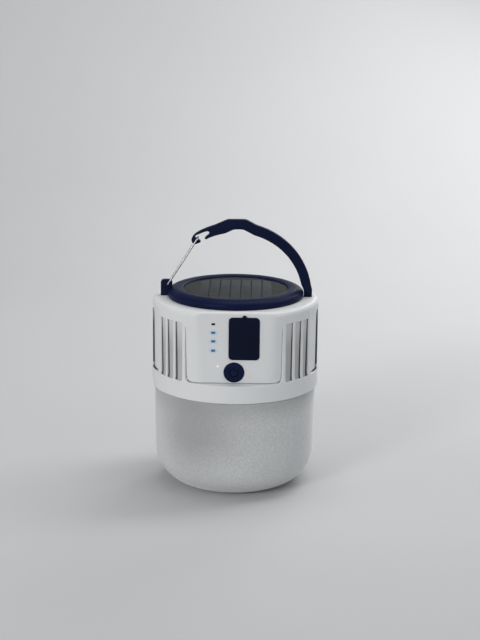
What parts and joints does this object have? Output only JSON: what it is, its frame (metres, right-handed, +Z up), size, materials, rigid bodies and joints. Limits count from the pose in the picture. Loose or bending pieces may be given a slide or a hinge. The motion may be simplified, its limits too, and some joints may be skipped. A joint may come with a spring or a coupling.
{
  "type": "solar lantern",
  "caption": "Barrel lantern with a round solar panel on top, a fixed hook handle closed by a wire gate, front sockets under a rubber cover, and a frosted cup below.",
  "frame": {"origin": "centre of the base: the lantern axis where it meets the resting surface", "axes": "+Z up along the lantern axis, -Y out of the flat front with the port cover and button, +X to the right seen from the front, where the handle foot is"},
  "size_m": [0.0924, 0.0924, 0.1483],
  "materials": {
    "frosted_cup": "frosted translucent polycarbonate, fine grain",
    "seal_rubber": "black seal",
    "white_shell": "white ABS, fine satin texture",
    "navy_ring": "navy ABS, satin",
    "panel_backing": "dark olive carrier",
    "solar_cell": "grey green cell strips with fine busbars",
    "clear_laminate": "clear laminate, slightly hazy",
    "navy_handle": "dark navy nylon, satin",
    "steel_wire": "drawn stainless wire",
    "screw_steel": "zinc plated",
    "cover_rubber": "dark navy silicone rubber",
    "button_navy": "navy silicone, sunk power symbol",
    "black_plastic": "moulded black",
    "switch_cream": "cream plunger",
    "lamp_blue": "clear guide, lit blue",
    "dark_window": "dark lamp window",
    "white_lens": "milky lens",
    "green_board": "green solder mask",
    "socket_metal": "tinned steel",
    "lamp_chip": "lamp chip with phosphor",
    "cell_wrap": "shrink wrapped cell",
    "cradle_plastic": "dark moulded cradle",
    "plate_metal": "sheet aluminium",
    "white_board": "white solder mask",
    "white_reflector": "white reflector",
    "lead_red": "PVC insulation",
    "lead_black": "PVC insulation"
  },
  "bodies": {
    "housing": {"diffuser": "frosted_cup", "diffuser_seal": "seal_rubber", "housing": "white_shell", "top_ring": "navy_ring", "panel_seal": "seal_rubber", "panel_board": "panel_backing", "solar_cells": "solar_cell", "panel_cover": "clear_laminate", "handle_arm": "navy_handle", "gate_lug": "navy_handle", "handle_screws": "screw_steel", "handle_washers": "screw_steel", "ring_screws": "screw_steel", "cover_tether": "cover_rubber", "tact_switch": "black_plastic", "light_guide": "lamp_blue", "charge_window": "dark_window", "status_lens": "white_lens", "main_board": "green_board", "usb_a_socket": "socket_metal", "charge_socket": "socket_metal", "indicator_leds": "lamp_chip", "board_components": "black_plastic", "board_screws": "screw_steel", "battery_cell": "cell_wrap", "battery_cap": "socket_metal", "battery_cradle": "cradle_plastic", "led_plate": "plate_metal", "led_board": "white_board", "led_chips": "lamp_chip", "plate_screws": "screw_steel", "reflector": "white_reflector", "solar_leads": "lead_red", "battery_leads": "lead_red", "led_leads": "lead_black"},
    "wire_gate": {"wire_gate": "steel_wire"},
    "port_cover": {"port_cover": "cover_rubber"},
    "power_button": {"power_button": "button_navy", "tact_plunger": "switch_cream"}
  },
  "joints": [
    {"name": "gate_swing", "type": "hinge", "parent": "housing", "child": "wire_gate", "pos_m": [-0.0377, 0, 0.1115], "axis": [0, 1, 0], "range_deg": [0, 28], "stiffness_Nm_per_rad": 0.003, "springref_deg": -5.73},
    {"name": "port_cover_hinge", "type": "hinge", "parent": "housing", "child": "port_cover", "pos_m": [0.00555, -0.0412, 0.10315], "axis": [-1, 0, 0], "range_deg": [0, 120]},
    {"name": "power_button_press", "type": "slide", "parent": "housing", "child": "power_button", "axis": [0, 1, 0], "range_m": [0, 0.0005], "stiffness_N_per_m": 2500}
  ]
}
